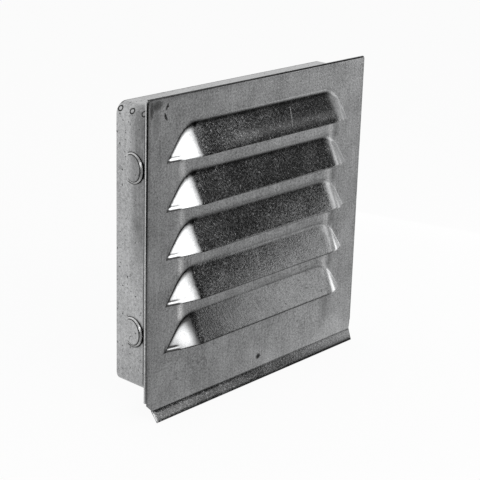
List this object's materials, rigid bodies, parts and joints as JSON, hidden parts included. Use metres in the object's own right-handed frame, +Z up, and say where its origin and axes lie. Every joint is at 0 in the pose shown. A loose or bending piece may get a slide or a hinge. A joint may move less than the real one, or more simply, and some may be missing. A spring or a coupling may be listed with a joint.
{
  "type": "louvred wall vent",
  "caption": "Square galvanised-steel ventilation grille with pressed louvres, hemmed edges and a drip lip, on a shallow rectangular sleeve that fits a wall opening.",
  "frame": {"origin": "middle of the wall opening, on the wall's face, where the rear of the plate's hems seats", "axes": "+Y into the wall along the sleeve, +Z up, +X to the right as seen from the front"},
  "size_m": [0.161, 0.0337, 0.1618],
  "materials": {
    "plate_zinc": "galvanised, fine grained, satin",
    "sleeve_zinc": "galvanised, fine grained, satin"
  },
  "bodies": {
    "root": {"front_plate": "plate_zinc", "sleeve": "sleeve_zinc"}
  },
  "joints": []
}
